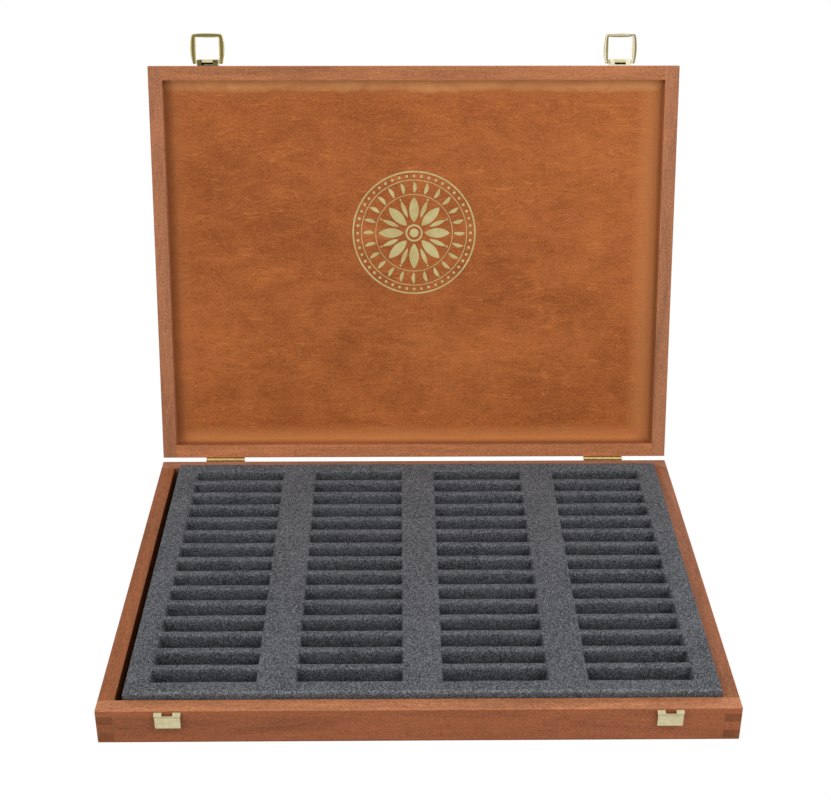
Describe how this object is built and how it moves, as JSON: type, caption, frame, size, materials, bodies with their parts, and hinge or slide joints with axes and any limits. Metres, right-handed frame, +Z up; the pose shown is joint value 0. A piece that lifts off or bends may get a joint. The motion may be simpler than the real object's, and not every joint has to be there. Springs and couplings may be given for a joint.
{
  "type": "hinged case",
  "caption": "Shallow finger-jointed wooden case with a hinged lid, brass toggle latches and a slotted foam insert for pastel sticks.",
  "frame": {"origin": "centre of the tray's underside", "axes": "+X to the right seen from the front, +Y to the back where the hinges are, +Z up"},
  "size_m": [0.42, 0.418, 0.3611],
  "materials": {
    "varnished_wood": "solid hardwood, stained red-brown, satin varnish",
    "plywood": "veneered plywood, stained red-brown, satin varnish",
    "foam": "open-cell polyurethane foam, dark grey",
    "brass": "brass-plated steel sheet, polished"
  },
  "bodies": {
    "base": {"base_front_rail": "varnished_wood", "base_back_rail": "varnished_wood", "base_left_rail": "varnished_wood", "base_right_rail": "varnished_wood", "base_bottom_panel": "plywood", "foam_base_layer": "foam", "foam_slotted_layer": "foam", "strike_left": "brass", "strike_right": "brass", "hinge_left_base_leaf": "brass", "hinge_right_base_leaf": "brass", "hinge_left_pin": "brass", "hinge_right_pin": "brass", "hinge_base_screws": "brass"},
    "lid": {"lid_front_rail": "varnished_wood", "lid_back_rail": "varnished_wood", "lid_left_rail": "varnished_wood", "lid_right_rail": "varnished_wood", "lid_panel": "plywood", "hinge_left_lid_leaf": "brass", "hinge_right_lid_leaf": "brass", "hinge_lid_screws": "brass", "latch_left_plate": "brass", "latch_right_plate": "brass", "latch_left_pin": "brass", "latch_right_pin": "brass", "latch_plate_nails": "brass"},
    "lever_left": {"latch_left_lever": "brass"},
    "bail_left": {"latch_left_bail": "brass"},
    "lever_right": {"latch_right_lever": "brass"},
    "bail_right": {"latch_right_bail": "brass"}
  },
  "joints": [
    {"name": "lid_hinge", "type": "hinge", "parent": "base", "child": "lid", "pos_m": [0, 0.162, 0.02615], "axis": [-1, 0, 0], "range_deg": [-104.4, 0]},
    {"name": "lever_left_pivot", "type": "hinge", "parent": "lid", "child": "lever_left", "pos_m": [-0.163, 0.24595, 0.34045], "axis": [1, 0, 0], "range_deg": [0, 90]},
    {"name": "bail_left_pivot", "type": "hinge", "parent": "lever_left", "child": "bail_left", "pos_m": [-0.163, 0.24856, 0.33936], "axis": [-1, 0, 0], "range_deg": [-93, 90]},
    {"name": "lever_right_pivot", "type": "hinge", "parent": "lid", "child": "lever_right", "pos_m": [0.163, 0.24595, 0.34045], "axis": [1, 0, 0], "range_deg": [0, 90]},
    {"name": "bail_right_pivot", "type": "hinge", "parent": "lever_right", "child": "bail_right", "pos_m": [0.163, 0.24856, 0.33936], "axis": [-1, 0, 0], "range_deg": [-93, 90]}
  ]
}
